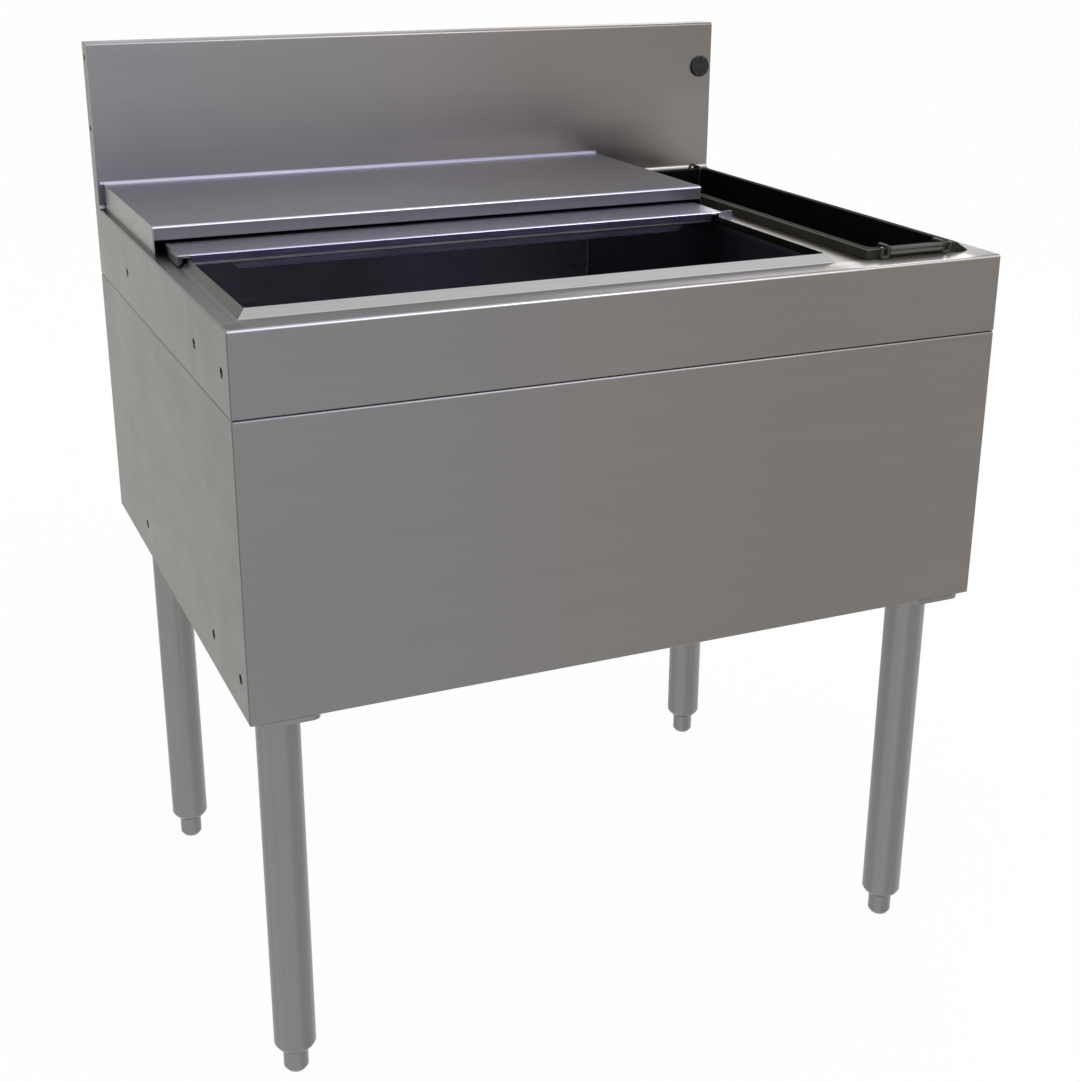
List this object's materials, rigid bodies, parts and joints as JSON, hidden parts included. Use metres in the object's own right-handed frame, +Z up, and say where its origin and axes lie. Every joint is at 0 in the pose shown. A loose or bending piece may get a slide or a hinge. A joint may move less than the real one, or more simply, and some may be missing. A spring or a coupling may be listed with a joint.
{
  "type": "ice bin with bottle well",
  "caption": "Free-standing stainless underbar ice bin with a backsplash, a sliding and a fixed bin cover, a lift-out bottle well with wire dividers and round legs on levelling feet.",
  "frame": {"origin": "on the floor under the middle of the unit's width and depth", "axes": "+X to the right as one stands in front, +Y to the back wall, +Z up"},
  "size_m": [0.762, 0.6096, 0.9428],
  "materials": {
    "stainless_sheet": "satin",
    "plain_steel": "satin",
    "stainless_liner": "satin",
    "stainless_cover": "satin",
    "stainless_leg": "satin",
    "fitting_steel": "satin",
    "black_plastic": "satin",
    "black_plug": "satin",
    "black_wire": "gloss",
    "grey_plastic": "matte",
    "foam": "matte",
    "rubber": "matte"
  },
  "bodies": {
    "cabinet": {"worktop": "stainless_sheet", "splash_end_left": "stainless_sheet", "splash_end_right": "stainless_sheet", "front_skirt": "stainless_sheet", "side_panel_left": "stainless_sheet", "side_panel_right": "stainless_sheet", "back_panel": "plain_steel", "bottom_panel": "plain_steel", "leg_channel_left": "plain_steel", "leg_channel_right": "plain_steel", "partition_panel": "plain_steel", "bin_liner": "stainless_liner", "bin_insulation": "foam", "drain_gasket": "rubber", "drain_fitting": "fitting_steel", "drain_locknut": "fitting_steel", "leg_plate_screws": "fitting_steel", "leg_plate_front_left": "plain_steel", "leg_tube_front_left": "stainless_leg", "foot_insert_front_left": "stainless_leg", "leg_plate_front_right": "plain_steel", "leg_tube_front_right": "stainless_leg", "foot_insert_front_right": "stainless_leg", "leg_plate_rear_left": "plain_steel", "leg_tube_rear_left": "stainless_leg", "foot_insert_rear_left": "stainless_leg", "leg_plate_rear_right": "plain_steel", "leg_tube_rear_right": "stainless_leg", "foot_insert_rear_right": "stainless_leg"},
    "rear_cover": {"rear_cover": "stainless_cover"},
    "front_cover": {"front_cover": "stainless_cover", "cover_glide_left": "grey_plastic", "cover_glide_right": "grey_plastic"},
    "bottle_well": {"bottle_well": "black_plastic"},
    "bottle_rack": {"bottle_wire_left": "black_wire", "bottle_wire_right": "black_wire", "bottle_crossbars": "black_wire"},
    "hose_hole_plug": {"hose_hole_plug": "black_plug"},
    "drain_strainer": {"drain_strainer": "fitting_steel"},
    "foot_front_left": {"levelling_foot_front_left": "stainless_leg"},
    "foot_front_right": {"levelling_foot_front_right": "stainless_leg"},
    "foot_rear_left": {"levelling_foot_rear_left": "stainless_leg"},
    "foot_rear_right": {"levelling_foot_rear_right": "stainless_leg"}
  },
  "joints": [
    {"name": "front_cover_slide", "type": "slide", "parent": "cabinet", "child": "front_cover", "axis": [0, 1, 0], "range_m": [-0.21, 0.025]},
    {"name": "rear_cover_lift", "type": "slide", "parent": "cabinet", "child": "rear_cover", "axis": [0, 0, 1], "range_m": [0, 0.15]},
    {"name": "bottle_well_lift", "type": "slide", "parent": "cabinet", "child": "bottle_well", "axis": [0, 0, 1], "range_m": [0, 0.26]},
    {"name": "bottle_rack_lift", "type": "slide", "parent": "bottle_well", "child": "bottle_rack", "axis": [0, 0, 1], "range_m": [0, 0.06]},
    {"name": "drain_strainer_lift", "type": "slide", "parent": "cabinet", "child": "drain_strainer", "axis": [0, 0, 1], "range_m": [0, 0.2]},
    {"name": "hose_hole_plug_pull", "type": "slide", "parent": "cabinet", "child": "hose_hole_plug", "axis": [0, -1, 0], "range_m": [0, 0.02]},
    {"name": "foot_screw_front_left", "type": "slide", "parent": "cabinet", "child": "foot_front_left", "axis": [0, 0, -1], "range_m": [-0.012, 0.015]},
    {"name": "foot_screw_front_right", "type": "slide", "parent": "cabinet", "child": "foot_front_right", "axis": [0, 0, -1], "range_m": [-0.012, 0.015]},
    {"name": "foot_screw_rear_left", "type": "slide", "parent": "cabinet", "child": "foot_rear_left", "axis": [0, 0, -1], "range_m": [-0.012, 0.015]},
    {"name": "foot_screw_rear_right", "type": "slide", "parent": "cabinet", "child": "foot_rear_right", "axis": [0, 0, -1], "range_m": [-0.012, 0.015]}
  ]
}
